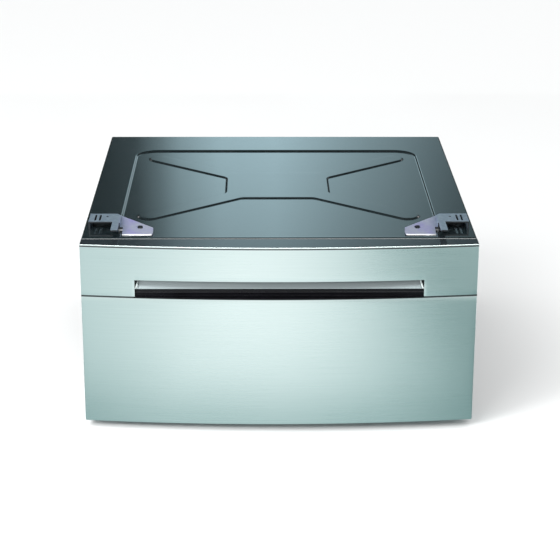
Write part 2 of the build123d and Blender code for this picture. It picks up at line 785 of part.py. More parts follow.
# ---- telescopic slides -------------------------------------------------------------
def slide_channel(x_web, x_open, high, y0, length):
    """Rolled slide member: web on one side, flanges towards the other."""
    side = 1 if x_open > x_web else -1
    z0 = slide_centre_z - high / 2
    z1 = slide_centre_z + high / 2
    y1 = y0 + length
    outer = block(x_web, x_open, y0, y1, z0, z1)
    outer -= block(x_web + side * slide_sheet, x_open + side * eps, y0 - eps, y1 + eps,
                   z0 + slide_sheet, z1 - slide_sheet)
    return outer


def slide_outer():
    member = slide_channel(slide_x, slide_x - outer_flange, outer_height, slide_y0, slide_length)
    return drill(member, [p for p in outer_rivets if p[0] > 0], (1, 0, 0), drill_short)


def slide_middle():
    return slide_channel(middle_web_x, drawer_x + inner_overlap + middle_edge, middle_height,
                         slide_y0, middle_length)


def slide_inner():
    x_open = middle_web_x - slide_sheet - web_gap
    member = slide_channel(drawer_x, x_open, inner_height, slide_y0, slide_length)
    member = drill(member, [p for p in inner_rivets if p[0] > 0], (1, 0, 0), drill_short)
    pin = rod((drawer_x - eps, lever_y, slide_centre_z), (1, 0, 0), slide_sheet + 2 * eps,
              lever_pin_radius + lever_pin_clearance)
    return member - pin


def ball_spots(row):
    """Ball centres of one cage, upper and lower run."""
    y_mid = cage_middle_y[row]
    first = y_mid - ball_pitch * (balls_per_row - 1) / 2
    rise = ball_rows[row]
    return [(race_x, first + i * ball_pitch, slide_centre_z + s * rise)
            for s in (-1, 1) for i in range(balls_per_row)]


def ball_cage(row):
    """Thin bent strip that holds both runs of balls and passes behind the web."""
    rise = ball_rows[row]
    gap_x = {"outer": slide_x - slide_sheet, "inner": middle_web_x - slide_sheet}[row]
    x_web = gap_x - web_gap / 2 + cage_sheet / 2
    y0 = cage_middle_y[row] - cage_length / 2
    y1 = y0 + cage_length
    z0 = slide_centre_z - rise - cage_sheet / 2
    z1 = slide_centre_z + rise + cage_sheet / 2
    x_edge = race_x - ball_radius - cage_edge
    strip = block(x_edge, x_web, y0, y1, z0, z1)
    strip -= block(x_edge - eps, x_web - cage_sheet, y0 - eps, y1 + eps, z0 + cage_sheet,
                   z1 - cage_sheet)
    for x, y, z in ball_spots(row):
        strip -= rod((x, y, z - eps), (0, 0, 1), 2 * eps, ball_radius + ball_hole_clearance)
    return strip


def balls(row):
    return [Pos(*p) * Sphere(ball_radius) for p in ball_spots(row)]


def release_lever():
    """Moulded latch with its own pivot pin through the inner member."""
    x0 = drawer_x + slide_sheet + lever_web_gap
    x1 = x0 + lever_thickness
    plane = Plane.YZ.offset(x0)
    h = lever_height / 2
    tip = lever_tip / 2
    arm = [(0, -h), (lever_length, -tip), (lever_length, tip), (0, h)]
    face = make_face(Polyline(*arm, close=True)) + Circle(h)
    at = Pos(0, lever_y, slide_centre_z)
    lever = at * extrude(plane * face, x1 - x0)
    pin = Plane.YZ.offset(drawer_x + lever_pin_gap) * Circle(lever_pin_radius)
    lever += at * extrude(pin, x0 - drawer_x)
    return lever


# ---- write every node --------------------------------------------------------------
def build():
    os.makedirs("parts", exist_ok=True)

    save("top_panel", top_panel())
    save_pair("side_panel", side_panel())
    save("rear_panel", rear_panel())
    save_pair("base_rail", base_rail())
    save("bottom_brace_front", bottom_brace(front_post_y))
    save("bottom_brace_rear", bottom_brace(rear_brace_y))
    save("top_brace", top_brace())
    save_pair("corner_post_front", corner_post(front_post_y))
    save_pair("corner_post_rear", corner_post(rear_post_y))
    save_pair("slide_mount_rail", slide_mount_rail())
    save_pair("foot_retainer", foot_retainer())
    seats = [(x, y, z + retainer_sheet) for x, y, z in retainer_points]
    save("retainer_screws", *[screw(p, (0, 0, -1), True, retainer_screw_length) for p in seats])
    seats = [(x, y + sheet, z) for x, y, z in rear_points]
    save("rear_panel_screws", *[screw(p, (0, -1, 0), True) for p in seats])

    for name, (x, y) in zip(foot_names, foot_points):
        save("foot_pad_" + name, foot_pad(x, y))
        save("foot_stud_" + name, foot_stud(x, y))
    low = base_z - lock_nut_height
    save("foot_lock_nuts", *[foot_nut(x, y, low, lock_nut_height) for x, y in foot_points])
    high = base_z + rail_sheet
    save("foot_insert_nuts", *[foot_nut(x, y, high, insert_nut_height) for x, y in foot_points])

    skins = [upper_skin(), lower_skin()]
    save("drawer_front_upper_skin", skins[0])
    save("drawer_front_lower_skin", skins[1])
    pocket = handle_pocket(skins)
    save("handle_pocket", pocket)
    save("handle_trim", handle_trim(skins))
    save("drawer_front_top_cap", top_cap())
    save("drawer_front_core", front_core(skins))
    save("drawer_front_inner_panel", inner_panel())

    save_pair("drawer_side", drawer_side())
    save("drawer_back", drawer_back())
    save("drawer_bottom", drawer_bottom())
    save("drawer_front_screws", *[screw(p, (0, -1, 0)) for p in front_points])
    save("drawer_bumpers", *bumpers())

    save_pair("slide_outer", slide_outer())
    save_pair("slide_middle", slide_middle())
    save_pair("slide_inner", slide_inner())
    grip = rail_sheet + slide_sheet
    save("slide_outer_rivets", *[rivet(p, (-1 if p[0] > 0 else 1, 0, 0), grip)
                                 for p in outer_rivets])
    grip = sheet + slide_sheet
    save("slide_inner_rivets", *[rivet(p, (1 if p[0] > 0 else -1, 0, 0), grip)
                                 for p in inner_rivets])
    for row in ("outer", "inner"):
        save_pair(row + "_ball_cage", ball_cage(row))
        spheres = balls(row)
        save(row + "_balls_right", *spheres)
        save(row + "_balls_left", *[other_side(s) for s in spheres])
    save_pair("release_lever", release_lever())


build()
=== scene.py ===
import json
import math

import bmesh
import bpy
import numpy as np
from mathutils import Matrix, Vector
from mathutils.geometry import tessellate_polygon


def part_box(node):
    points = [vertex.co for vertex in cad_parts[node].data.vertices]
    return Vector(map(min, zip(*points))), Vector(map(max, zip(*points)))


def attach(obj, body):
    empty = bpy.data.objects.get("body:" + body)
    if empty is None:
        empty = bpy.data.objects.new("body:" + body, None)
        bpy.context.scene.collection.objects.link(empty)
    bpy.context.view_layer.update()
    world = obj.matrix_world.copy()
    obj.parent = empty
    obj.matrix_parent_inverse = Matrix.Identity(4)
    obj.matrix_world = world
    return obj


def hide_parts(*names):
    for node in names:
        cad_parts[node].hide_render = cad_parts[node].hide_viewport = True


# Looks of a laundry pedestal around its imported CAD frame. Metres, +Z up, drawer towards -Y.
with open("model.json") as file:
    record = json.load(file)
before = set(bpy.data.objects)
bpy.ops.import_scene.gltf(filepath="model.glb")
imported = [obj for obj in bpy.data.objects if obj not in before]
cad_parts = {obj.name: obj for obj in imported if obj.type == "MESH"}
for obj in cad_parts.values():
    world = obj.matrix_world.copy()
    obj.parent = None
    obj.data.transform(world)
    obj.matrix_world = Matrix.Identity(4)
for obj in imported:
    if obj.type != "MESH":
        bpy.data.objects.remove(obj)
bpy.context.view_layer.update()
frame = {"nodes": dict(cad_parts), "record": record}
MM = 0.001
EVEN = (1, 1, 1)


# ---- node material helpers ---------------------------------------------------------
class Look:
    """One procedural material and its node tree."""

    def __init__(self, name, colour, metallic=0.0, roughness=0.5, **sockets):
        self.mat = bpy.data.materials.new(name)
        self.mat.use_nodes = True
        self.tree = self.mat.node_tree
        self.shader = self.tree.nodes["Principled BSDF"]
        self.shader.inputs["Base Color"].default_value = (*colour, 1.0)
        self.shader.inputs["Metallic"].default_value = metallic
        self.shader.inputs["Roughness"].default_value = roughness
        for key, value in sockets.items():
            self.shader.inputs[key.replace("_", " ")].default_value = value
        self.mat.diffuse_color = (*colour, 1.0)
        self.where = self.node("ShaderNodeTexCoord").outputs["Object"]

    def node(self, kind, **settings):
        made = self.tree.nodes.new(kind)
        for key, value in settings.items():
            setattr(made, key, value)
        return made

    def link(self, a, b):
        self.tree.links.new(a, b)

    def stretched(self, scale):
        mapping = self.node("ShaderNodeMapping")
        mapping.inputs["Scale"].default_value = scale
        self.link(self.where, mapping.inputs["Vector"])
        return mapping.outputs["Vector"]

    def noise(self, scale, size, detail=3.0, roughness=0.5):
        """Noise stretched by scale on each axis, with features about 1/size metres long."""
        made = self.node("ShaderNodeTexNoise")
        made.inputs["Scale"].default_value = size
        made.inputs["Detail"].default_value = detail
        made.inputs["Roughness"].default_value = roughness
        self.link(self.stretched(scale), made.inputs["Vector"])
        return made.outputs["Fac"]

    def cells(self, size):
        made = self.node("ShaderNodeTexVoronoi")
        made.inputs["Scale"].default_value = size
        self.link(self.where, made.inputs["Vector"])
        return made.outputs["Distance"]

    def calc(self, operation, *values):
        made = self.node("ShaderNodeMath", operation=operation)
        for socket, value in zip(made.inputs, values):
            if isinstance(value, float):
                socket.default_value = value
            else:
                self.link(value, socket)
        return made.outputs[0]

    def axes(self, vector):
        made = self.node("ShaderNodeSeparateXYZ")
        self.link(vector, made.inputs[0])
        return made.outputs

    def spread(self, value, low, high, start=0.3, end=0.7):
        """Value from start to end, mapped onto low to high and held outside."""
        made = self.node("ShaderNodeMapRange")
        made.inputs["From Min"].default_value = start
        made.inputs["From Max"].default_value = end
        made.inputs["To Min"].default_value = low
        made.inputs["To Max"].default_value = high
        self.link(value, made.inputs["Value"])
        return made.outputs["Result"]

    def blend(self, factor, first, second):
        made = self.node("ShaderNodeMix", data_type="RGBA")
        for index, value in ((6, first), (7, second)):
            if isinstance(value, tuple):
                made.inputs[index].default_value = (*value, 1.0)
            else:
                self.link(value, made.inputs[index])
        self.link(factor, made.inputs[0])
        return made.outputs[2]

    def edges(self, radius=0.0008):
        """Mask that is 1 along sharp edges, for worn corners."""
        bevel = self.node("ShaderNodeBevel", samples=4)
        bevel.inputs["Radius"].default_value = radius
        geometry = self.node("ShaderNodeNewGeometry")
        dot = self.node("ShaderNodeVectorMath", operation="DOT_PRODUCT")
        self.link(bevel.outputs["Normal"], dot.inputs[0])
        self.link(geometry.outputs["Normal"], dot.inputs[1])
        return self.spread(dot.outputs["Value"], 1.0, 0.0, 0.75, 0.98)

    def colour(self, value):
        self.link(value, self.shader.inputs["Base Color"])

    def rough(self, value):
        self.link(value, self.shader.inputs["Roughness"])

    def bump(self, value, strength, distance):
        made = self.node("ShaderNodeBump")
        made.inputs["Strength"].default_value = strength
        made.inputs["Distance"].default_value = distance
        self.link(value, made.inputs["Height"])
        self.link(made.outputs["Normal"], self.shader.inputs["Normal"])


# ---- places that the materials depend on ------------------------------------------------
upper_low, upper_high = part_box("drawer_front_upper_skin")
lower_low, lower_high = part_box("drawer_front_lower_skin")
BLEND_STEP = 0.1 * MM
SEAM_SHADE_WIDTH = 0.6 * MM
GROOVE_BOTTOM = 4.2 * MM
GROOVE_TOP = 2.2 * MM
GROOVE_DEPTH = 1.1 * MM
GROOVE_WALL = 0.1 * MM
# bands of the skins that get painted shade: the seam's edges and the groove
SEAM_Z = (lower_high.z - SEAM_SHADE_WIDTH, upper_low.z + SEAM_SHADE_WIDTH)
GROOVE_Z = (upper_high.z - GROOVE_BOTTOM - GROOVE_WALL, upper_high.z - GROOVE_TOP)
# the tint fades out from a retainer's wing to its hood; a wing's front edge is below this height,
# and front faces above it on a wing get a painted highlight
WING_TO_HOOD_X = (262 * MM, 284 * MM)
WING_FRONT_Z = (347.0 * MM, 347.6 * MM)
# the handle plate's lip gets a painted highlight and its cheek a painted shadow, from where width
# from the middle + slant x height reaches these
TRIM_END_SLANT = 0.37
TRIM_HIGHLIGHT_AT = 345.05 * MM
TRIM_SHADE_AT = 347.55 * MM
TRIM_BLEND = 0.15 * MM


# ---- materials ---------------------------------------------------------------------
def stainless_look():
    """Satin steel with a horizontal grain; the seam's edges and the groove get painted shade."""
    look = Look("satin_stainless", (0.74, 0.80, 0.79), 1.0, 0.3)
    grain = look.noise((6, 6, 2200), 1.0, 4.0, 0.7)
    cloud = look.noise(EVEN, 5.0, 2.0)
    satin = look.blend(look.spread(grain, 0, 1), (0.70, 0.765, 0.755), (0.79, 0.85, 0.84))
    level = look.axes(look.where)["Z"]
    # painted shade: a dark band at the seam's edges and inside the groove, where shade falls
    for low_z, high_z in (SEAM_Z, GROOVE_Z):
        above_low = look.spread(level, 0.0, 1.0, low_z - BLEND_STEP, low_z)
        above_high = look.spread(level, 0.0, 1.0, high_z, high_z + BLEND_STEP)
        with_painted_shade = look.blend(above_low, satin, (0.022, 0.032, 0.034))
        satin = look.blend(above_high, with_painted_shade, satin)
    look.colour(satin)
    look.rough(look.calc("ADD", look.spread(grain, 0.25, 0.33), look.spread(cloud, -0.02, 0.03)))
    look.bump(grain, 0.05, 0.00004)
    return look.mat


def enamel_look():
    look = Look("dark_gloss_enamel", (0.011, 0.017, 0.020), 0.0, 0.09, Coat_Weight=1.0,
                Coat_Roughness=0.03, IOR=1.6)
    peel = look.noise(EVEN, 260.0, 2.0)
    dust = look.noise(EVEN, 38.0, 5.0, 0.65)
    look.colour(look.blend(look.spread(dust, 0, 1, 0.35, 0.75), (0.009, 0.015, 0.017),
                           (0.015, 0.021, 0.023)))
    look.rough(look.spread(dust, 0.06, 0.16))
    look.bump(peel, 0.04, 0.00003)
    return look.mat


def cap_look():
    look = Look("gloss_cap_moulding", (0.018, 0.024, 0.028), 0.0, 0.12, Coat_Weight=0.25,
                Coat_Roughness=0.06, Specular_IOR_Level=0.4)
    peel = look.noise(EVEN, 120.0, 3.0)
    look.rough(look.spread(peel, 0.09, 0.18))
    look.colour(look.blend(look.spread(peel, 0, 1), (0.015, 0.021, 0.025), (0.022, 0.029, 0.033)))
    look.bump(peel, 0.05, 0.00004)
    return look.mat


def plated_look(name, dark, light, tint, size, rough):
    """Zinc plate: faint crystal spangle, tinted patches and bright worn edges."""
    look = Look(name, light, 1.0, 0.3)
    spangle = look.spread(look.cells(size), 0, 1, 0.05, 0.6)
    patch = look.noise(EVEN, 22.0, 4.0, 0.6)
    base = look.blend(spangle, light, dark)
    tinted = look.blend(look.spread(patch, 0, 0.6, 0.35, 0.7), base, tint)
    look.colour(look.blend(look.edges(), tinted, (0.86, 0.86, 0.88)))
    look.rough(look.spread(patch, *rough))
    look.bump(look.noise(EVEN, 900.0, 3.0), 0.12, 0.00003)
    return look.mat


def retainer_look():
    """Zinc plate, tinted on the wings; a wing's front edge has a painted highlight, other front
    faces a painted shadow.
    """
    look = Look("retainer_zinc_plate", (0.60, 0.64, 0.72), 0.55, 0.34)
    patch = look.noise(EVEN, 30.0, 4.0, 0.6)
    spangle = look.spread(look.cells(130.0), 0, 1, 0.05, 0.6)
    place = look.axes(look.where)
    on_wing = look.spread(look.calc("ABSOLUTE", place["X"]), 1.0, 0.0, *WING_TO_HOOD_X)
    plate = look.blend(spangle, (0.36, 0.45, 0.52), (0.26, 0.34, 0.42))
    wing = look.blend(look.spread(patch, 0, 1, 0.4, 0.65), (0.50, 0.54, 0.68),
                      (0.40, 0.39, 0.70))
    tinted = look.blend(on_wing, plate, wing)
    # front faces are painted: a painted highlight on a wing's raised front edge, a painted shadow
    # on every other front face
    facing = look.axes(look.node("ShaderNodeNewGeometry").outputs["Normal"])["Y"]
    forward = look.spread(facing, 1.0, 0.0, -0.8, -0.6)
    raised = look.spread(place["Z"], 0.0, 1.0, *WING_FRONT_Z)
    shadow = (0.015, 0.018, 0.022)
    painted_highlight_and_shadow = look.blend(on_wing, shadow, (0.94, 0.96, 0.98))
    look.colour(look.blend(forward, tinted, look.blend(raised, painted_highlight_and_shadow, shadow)))
    look.link(look.spread(facing, 0.0, 0.55, -0.8, -0.6), look.shader.inputs["Metallic"])
    look.rough(look.spread(patch, 0.28, 0.42))
    look.bump(look.noise(EVEN, 900.0, 3.0), 0.12, 0.00003)
    return look.mat


def powder_look():
    look = Look("light_powder_coat", (0.55, 0.58, 0.59), 0.0, 0.45)
    grain = look.noise(EVEN, 1400.0, 2.0)
    patch = look.noise(EVEN, 12.0, 3.0)
    look.colour(look.blend(look.spread(patch, 0, 1), (0.52, 0.55, 0.56), (0.60, 0.63, 0.64)))
    look.rough(look.spread(grain, 0.38, 0.52))
    look.bump(grain, 0.25, 0.00005)
    return look.mat


def plastic_look(name, dark, light, rough, grain_size, grain_depth, gloss=0.5):
    look = Look(name, dark, 0.0, sum(rough) / 2, Specular_IOR_Level=gloss)
    grain = look.noise(EVEN, grain_size, 3.0)
    patch = look.noise(EVEN, 25.0, 3.0)
    look.colour(look.blend(look.spread(patch, 0, 1), dark, light))
    look.rough(look.spread(patch, *rough))
    look.bump(grain, 0.3, grain_depth)
    return look.mat


def rubber_look():
    look = Look("black_rubber", (0.022, 0.022, 0.023), 0.0, 0.75)
    grain = look.noise(EVEN, 700.0, 4.0)
    dust = look.noise(EVEN, 60.0, 5.0, 0.7)
    look.colour(look.blend(look.spread(dust, 0, 1, 0.5, 0.8), (0.018, 0.018, 0.019),
                           (0.075, 0.073, 0.070)))
    look.rough(look.spread(grain, 0.62, 0.88))
    look.bump(grain, 0.4, 0.0001)
    return look.mat


def trim_look():
    """Satin plate; its ends turn into a slanted lip with a painted highlight and then a cheek with
    a painted shadow.
    """
    look = Look("satin_trim", (0.30, 0.35, 0.37), 0.35, 0.42)
    grain = look.noise((5, 900, 900), 1.0, 4.0, 0.7)
    plate = look.blend(look.spread(grain, 0, 1), (0.27, 0.32, 0.33), (0.35, 0.40, 0.41))
    place = look.axes(look.where)
    slant = look.calc("MULTIPLY_ADD", place["Z"], TRIM_END_SLANT,
                      look.calc("ABSOLUTE", place["X"]))
    # painted highlight on the slanted lip, then painted shadow on the cheek
    for start, colour in ((TRIM_HIGHLIGHT_AT, (0.85, 0.93, 0.92)),
                          (TRIM_SHADE_AT, (0.006, 0.008, 0.009))):
        past = look.spread(slant, 0.0, 1.0, start - TRIM_BLEND, start + TRIM_BLEND)
        plate = look.blend(past, plate, colour)
    look.colour(plate)
    look.rough(look.spread(grain, 0.48, 0.60))
    look.bump(grain, 0.06, 0.00004)
    return look.mat


def ball_look():
    look = Look("bearing_steel", (0.75, 0.75, 0.77), 1.0, 0.12)
    film = look.noise(EVEN, 800.0, 3.0)
    look.colour(look.blend(look.spread(film, 0, 1), (0.60, 0.59, 0.57), (0.80, 0.80, 0.82)))
    look.rough(look.spread(film, 0.08, 0.22))
    look.bump(film, 0.05, 0.00002)
    return look.mat


looks = {
    "stainless_skin": stainless_look(),
    "cabinet_paint": enamel_look(),
    "cap_gloss": cap_look(),
    "retainer_zinc": retainer_look(),
    "galvanised": plated_look("galvanised_sheet", (0.46, 0.48, 0.50), (0.58, 0.60, 0.62),
                              (0.52, 0.55, 0.58), 110.0, (0.34, 0.48)),
    "drawer_paint": powder_look(),
    "pocket_black": plastic_look("pocket_gloss_black", (0.003, 0.003, 0.004),
                                 (0.005, 0.005, 0.007), (0.16, 0.28), 300.0, 0.00002, 0.18),
    "core_plastic": plastic_look("core_moulded_black", (0.035, 0.036, 0.038),
                                 (0.050, 0.052, 0.055), (0.45, 0.62), 900.0, 0.00006),
    "trim_metal": trim_look(),
    "slide_steel": plated_look("slide_zinc_steel", (0.46, 0.48, 0.50), (0.66, 0.68, 0.70),
                               (0.58, 0.60, 0.62), 160.0, (0.20, 0.32)),
    "ball_steel": ball_look(),
    "fastener_steel": plated_look("fastener_zinc", (0.42, 0.43, 0.46), (0.66, 0.67, 0.70),
                                  (0.60, 0.58, 0.52), 300.0, (0.22, 0.38)),
    "rubber_black": rubber_look(),
    "lever_plastic": plastic_look("black_nylon", (0.020, 0.020, 0.022), (0.032, 0.032, 0.035),
                                  (0.38, 0.52), 900.0, 0.00005),
}


# ---- CAD nodes that are shown as they are ------------------------------------------------
SLOT_OF = {s["node"]: s["material_slot"] for s in frame["record"]["subparts"]}
BODY_OF = {n: b for b, ns in frame["record"]["behaviour"]["bodies"].items() for n in ns}
# edge radius in millimetres by material slot
EDGE_WIDTH = {"stainless_skin": 0.3, "galvanised": 0.35, "retainer_zinc": 0.45,
              "drawer_paint": 0.3, "slide_steel": 0.3, "fastener_steel": 0.25,
              "pocket_black": 0.7, "core_plastic": 0.5, "trim_metal": 0.25, "cap_gloss": 0.6,
              "rubber_black": 0.5, "lever_plastic": 0.4, "cabinet_paint": 0.3}


def edge_radius(obj, width, segments, angle):
    """Rounds the edges sharper than angle, in degrees, by a width in millimetres."""
    bevel = obj.modifiers.new("edge_radius", "BEVEL")
    bevel.width = width * MM
    bevel.segments = segments
    bevel.limit_method = "ANGLE"
    bevel.angle_limit = math.radians(angle)


def flat_shading(obj, keep_sharp):
    """Lets the large faces set the shading, so that reflections stay flat on flats."""
    even = obj.modifiers.new("flat_shading", "WEIGHTED_NORMAL")
    even.weight = 100
    even.keep_sharp = keep_sharp


def sheet(obj, thickness):
    """Gives a surface its thickness, inwards."""
    solid = obj.modifiers.new("sheet", "SOLIDIFY")
    solid.thickness = thickness
    solid.offset = -1.0


def soften(obj, width):
    """Rounds the hard edges of a CAD piece by a small real radius."""
    weld = obj.modifiers.new("weld", "WELD")
    weld.merge_threshold = 0.005 * MM
    edge_radius(obj, width, 2, 32)
    flat_shading(obj, True)


def dress(node):
    """Gives a CAD node the material of its slot and softens its edges."""
    obj = frame["nodes"][node]
    slot = SLOT_OF[node]
    obj.data.materials.clear()
    obj.data.materials.append(looks[slot])
    for face in obj.data.polygons:
        face.use_smooth = True
    obj.data.set_sharp_from_angle(angle=math.radians(30))
    if slot in EDGE_WIDTH:
        soften(obj, EDGE_WIDTH[slot])


for node in frame["nodes"]:
    dress(node)


# ---- mesh helpers --------------------------------------------------------------------
def new_piece(name, verts, faces, replaced):
    """Mesh piece that takes the place, body and material slot of one CAD node."""
    slot = SLOT_OF[replaced]
    mesh = bpy.data.meshes.new(name)
    mesh.from_pydata([tuple(v) for v in verts], [], faces)
    mesh.validate()
    for face in mesh.polygons:
        face.use_smooth = True
    obj = bpy.data.objects.new(name, mesh)
    bpy.context.scene.collection.objects.link(obj)
    mesh.materials.append(looks[slot])
    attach(obj, BODY_OF[replaced])
    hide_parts(replaced)
    return obj


def rounded_polygon(corners, steps=8):
    """Closed outline from corners given as (x, y, radius)."""
    points = []
    count = len(corners)
    for i, (x, y, radius) in enumerate(corners):
        here = Vector((x, y))
        to_last = (Vector(corners[i - 1][:2]) - here).normalized()
        to_next = (Vector(corners[(i + 1) % count][:2]) - here).normalized()
        half = to_last.angle(to_next) / 2
        reach = radius / math.tan(half)
        centre = here + (to_last + to_next).normalized() * (radius / math.sin(half))
        start = here + to_last * reach - centre
        end = here + to_next * reach - centre
        turn = start.angle_signed(end)
        for k in range(steps + 1):
            a = -turn * k / steps
            c, s = math.cos(a), math.sin(a)
            points.append(centre + Vector((start.x * c - start.y * s, start.x * s + start.y * c)))
    return np.array([tuple(p) for p in points])


def shifted(outline, distance):
    """Outline moved outwards along its own normals (counter-clockwise outline)."""
    ahead = np.roll(outline, -1, 0) - outline
    behind = outline - np.roll(outline, 1, 0)
    ahead /= np.maximum(np.linalg.norm(ahead, axis=1, keepdims=True), 1e-9)
    behind /= np.maximum(np.linalg.norm(behind, axis=1, keepdims=True), 1e-9)
    along = ahead + behind
    along /= np.linalg.norm(along, axis=1, keepdims=True)
    out = np.stack([along[:, 1], -along[:, 0]], 1)
    return outline + out * distance


class Pressing:
    """Sheet surface put together from closed loops and flat fills."""

    def __init__(self):
        self.verts, self.faces = [], []

    def loop(self, outline, z):
        first = len(self.verts)
        self.verts += [(x, y, z) for x, y in outline]
        return list(range(first, len(self.verts)))

    def wall(self, a, b):
        n = len(a)
        for i in range(n):
            j = (i + 1) % n
            self.faces.append((a[i], a[j], b[j], b[i]))

    def profile(self, outline, steps):
        """Loops at (offset, z) steps joined one to the next; returns all of them."""
        loops = [self.loop(shifted(outline, d), z) for d, z in steps]
        for a, b in zip(loops, loops[1:]):
            self.wall(a, b)
        return loops

    def flat(self, outer, *holes):
        rings = [outer, *holes]
        index = [i for ring in rings for i in ring]
        polys = [[Vector(self.verts[i]) for i in ring] for ring in rings]
        for a, b, c in tessellate_polygon(polys):
            tri = [index[a], index[b], index[c]]
            p, q, r = (Vector(self.verts[i]) for i in tri)
            if (q - p).cross(r - p).z < 0:
                tri.reverse()
            self.faces.append(tuple(tri))


def s_curve(d0, d1, z0, z1, steps=8):
    """Smooth press radius between two levels."""
    made = []
    for k in range(steps + 1):
        t = k / steps
        made.append((d0 + (d1 - d0) * t, z0 + (z1 - z0) * (3 * t * t - 2 * t ** 3)))
    return made


# ---- pressed top panel ---------------------------------------------------------------
top_low, top_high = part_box("top_panel")
TOP_Z = top_high.z
SHEET = 1.2 * MM
FIELD_DEPTH = 3.0 * MM
FIELD_BORDER_SIDE = 60 * MM
FIELD_BORDER_REAR = 105 * MM
FIELD_BORDER_FRONT = 9 * MM
FIELD_SLOPE = 4.5 * MM
FIELD_CORNER = 45 * MM
CROSS_RISE = 2.4 * MM
CROSS_ARM = 22.5 * MM
CROSS_REACH = (232 * MM, 187 * MM)
CROSS_CENTRE_Y = 10 * MM
HUB_HALF_WIDTH = 98 * MM
HUB_FRONT = -82 * MM
HUB_REAR = 92 * MM
HUB_SIDE_RADIUS = 19 * MM
HUB_END_RADIUS = 14 * MM
CROSS_FOOT = 1.2 * MM
CROSS_SHOULDER = 3.6 * MM
PANEL_CORNER = 3.5 * MM
PANEL_ROLL = 3.4 * MM
BOSS_RADIUS = 12 * MM
BOSS_SLOPE = 2.2 * MM
SCREW_HEAD_CORNER = 0.2 * MM


def rounded_box(x0, x1, y0, y1, r):
    """Closed outline of a rectangle with rounded corners."""
    return rounded_polygon([(x0, y0, r), (x1, y0, r), (x1, y1, r), (x0, y1, r)], 10)


def cross_outline():
    """Stiffening cross: four round-ended arms that run into a flat-sided hub."""
    reach = Vector(CROSS_REACH)
    along = reach.normalized()
    across = Vector((-along.y, along.x))
    tip = along * (reach.length + CROSS_ARM)
    w = CROSS_ARM
    outer, inner = tip + across * w, tip - across * w
    side_t = (HUB_HALF_WIDTH - w * along.y) / along.x
    side_y = side_t * along.y - w * along.x

    def hub_x(level):
        return (abs(level) - w * along.x) / along.y * along.x - w * along.y

    tip_r = w * 0.99
    quadrant = [(HUB_HALF_WIDTH, side_y, HUB_SIDE_RADIUS), (inner.x, inner.y, tip_r),
                (outer.x, outer.y, tip_r)]
    rear = quadrant + [(hub_x(HUB_REAR), HUB_REAR, HUB_END_RADIUS)]
    front = quadrant + [(hub_x(HUB_FRONT), -HUB_FRONT, HUB_END_RADIUS)]
    ring = rear + [(-x, y, r) for x, y, r in reversed(rear)]
    ring += [(-x, -y, r) for x, y, r in front] + [(x, -y, r) for x, y, r in reversed(front)]
    return rounded_polygon(ring, 10) + np.array((0, CROSS_CENTRE_Y))


def top_panel():
    """Pressed sheet: rolled edges, a sunk field, the raised cross and the retainers' bosses."""
    press = Pressing()
    rim = rounded_box(top_low.x, top_high.x, top_low.y, top_high.y, PANEL_CORNER)
    steps = [(0.0, top_low.z), (0.0, TOP_Z - PANEL_ROLL)]
    for a in np.linspace(0, math.pi / 2, 6)[1:]:
        steps.append((-PANEL_ROLL * (1 - math.cos(a)), TOP_Z - PANEL_ROLL * (1 - math.sin(a))))
    edge = press.profile(rim, steps)
    field = rounded_box(top_low.x + FIELD_BORDER_SIDE, top_high.x - FIELD_BORDER_SIDE,
                        top_low.y + FIELD_BORDER_FRONT, top_high.y - FIELD_BORDER_REAR,
                        FIELD_CORNER)
    floor_z = TOP_Z - FIELD_DEPTH
    slope = press.profile(field, s_curve(0.0, -FIELD_SLOPE, TOP_Z, floor_z, 10))
    press.flat(edge[-1], slope[0])
    cross = cross_outline()
    rise = press.profile(cross, s_curve(CROSS_FOOT, -CROSS_SHOULDER, floor_z,
                                        floor_z + CROSS_RISE, 8))
    seat_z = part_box("foot_retainer_right")[0].z
    screws_low, screws_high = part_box("retainer_screws")
    screw_y = (screws_low.y + screws_high.y) / 2
    screw_x = screws_high.x - (screws_high.y - screws_low.y) / 2 - SCREW_HEAD_CORNER
    bosses = []
    for sign in (-1, 1):
        ring = [(sign * screw_x + BOSS_RADIUS * math.cos(a), screw_y + BOSS_RADIUS * math.sin(a))
                for a in np.linspace(0, 2 * math.pi, 40, endpoint=False)]
        loops = press.profile(np.array(ring), s_curve(0, -BOSS_SLOPE, floor_z, seat_z, 6))
        press.flat(loops[-1])
        bosses.append(loops[0])
    press.flat(slope[-1], rise[0], *bosses)
    press.flat(rise[-1])
    obj = new_piece("top_panel_pressing", press.verts, press.faces, "top_panel")
    sheet(obj, SHEET)
    flat_shading(obj, False)


top_panel()


# ---- bowed drawer skins --------------------------------------------------------------
HALF_W = upper_high.x
BOW = 20 * MM
BOW_RADIUS = (HALF_W ** 2 + BOW ** 2) / (2 * BOW)
SKIN = 0.8 * MM
SLOT_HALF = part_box("handle_trim")[1].x
SLOT_TOP = 282 * MM
CORNER_R = 2.2 * MM
# hems turn in over their height: first the shoulder, then the full inset at the edge
HEM = 1.1 * MM
HEM_INSET = 0.75 * MM
HEM_SHOULDER = 0.25 * MM
HEM_SHOULDER_TOP = 0.4 * MM
HEM_SHOULDER_BOTTOM = 0.3 * MM
SKIN_EDGE_RADIUS = 0.32


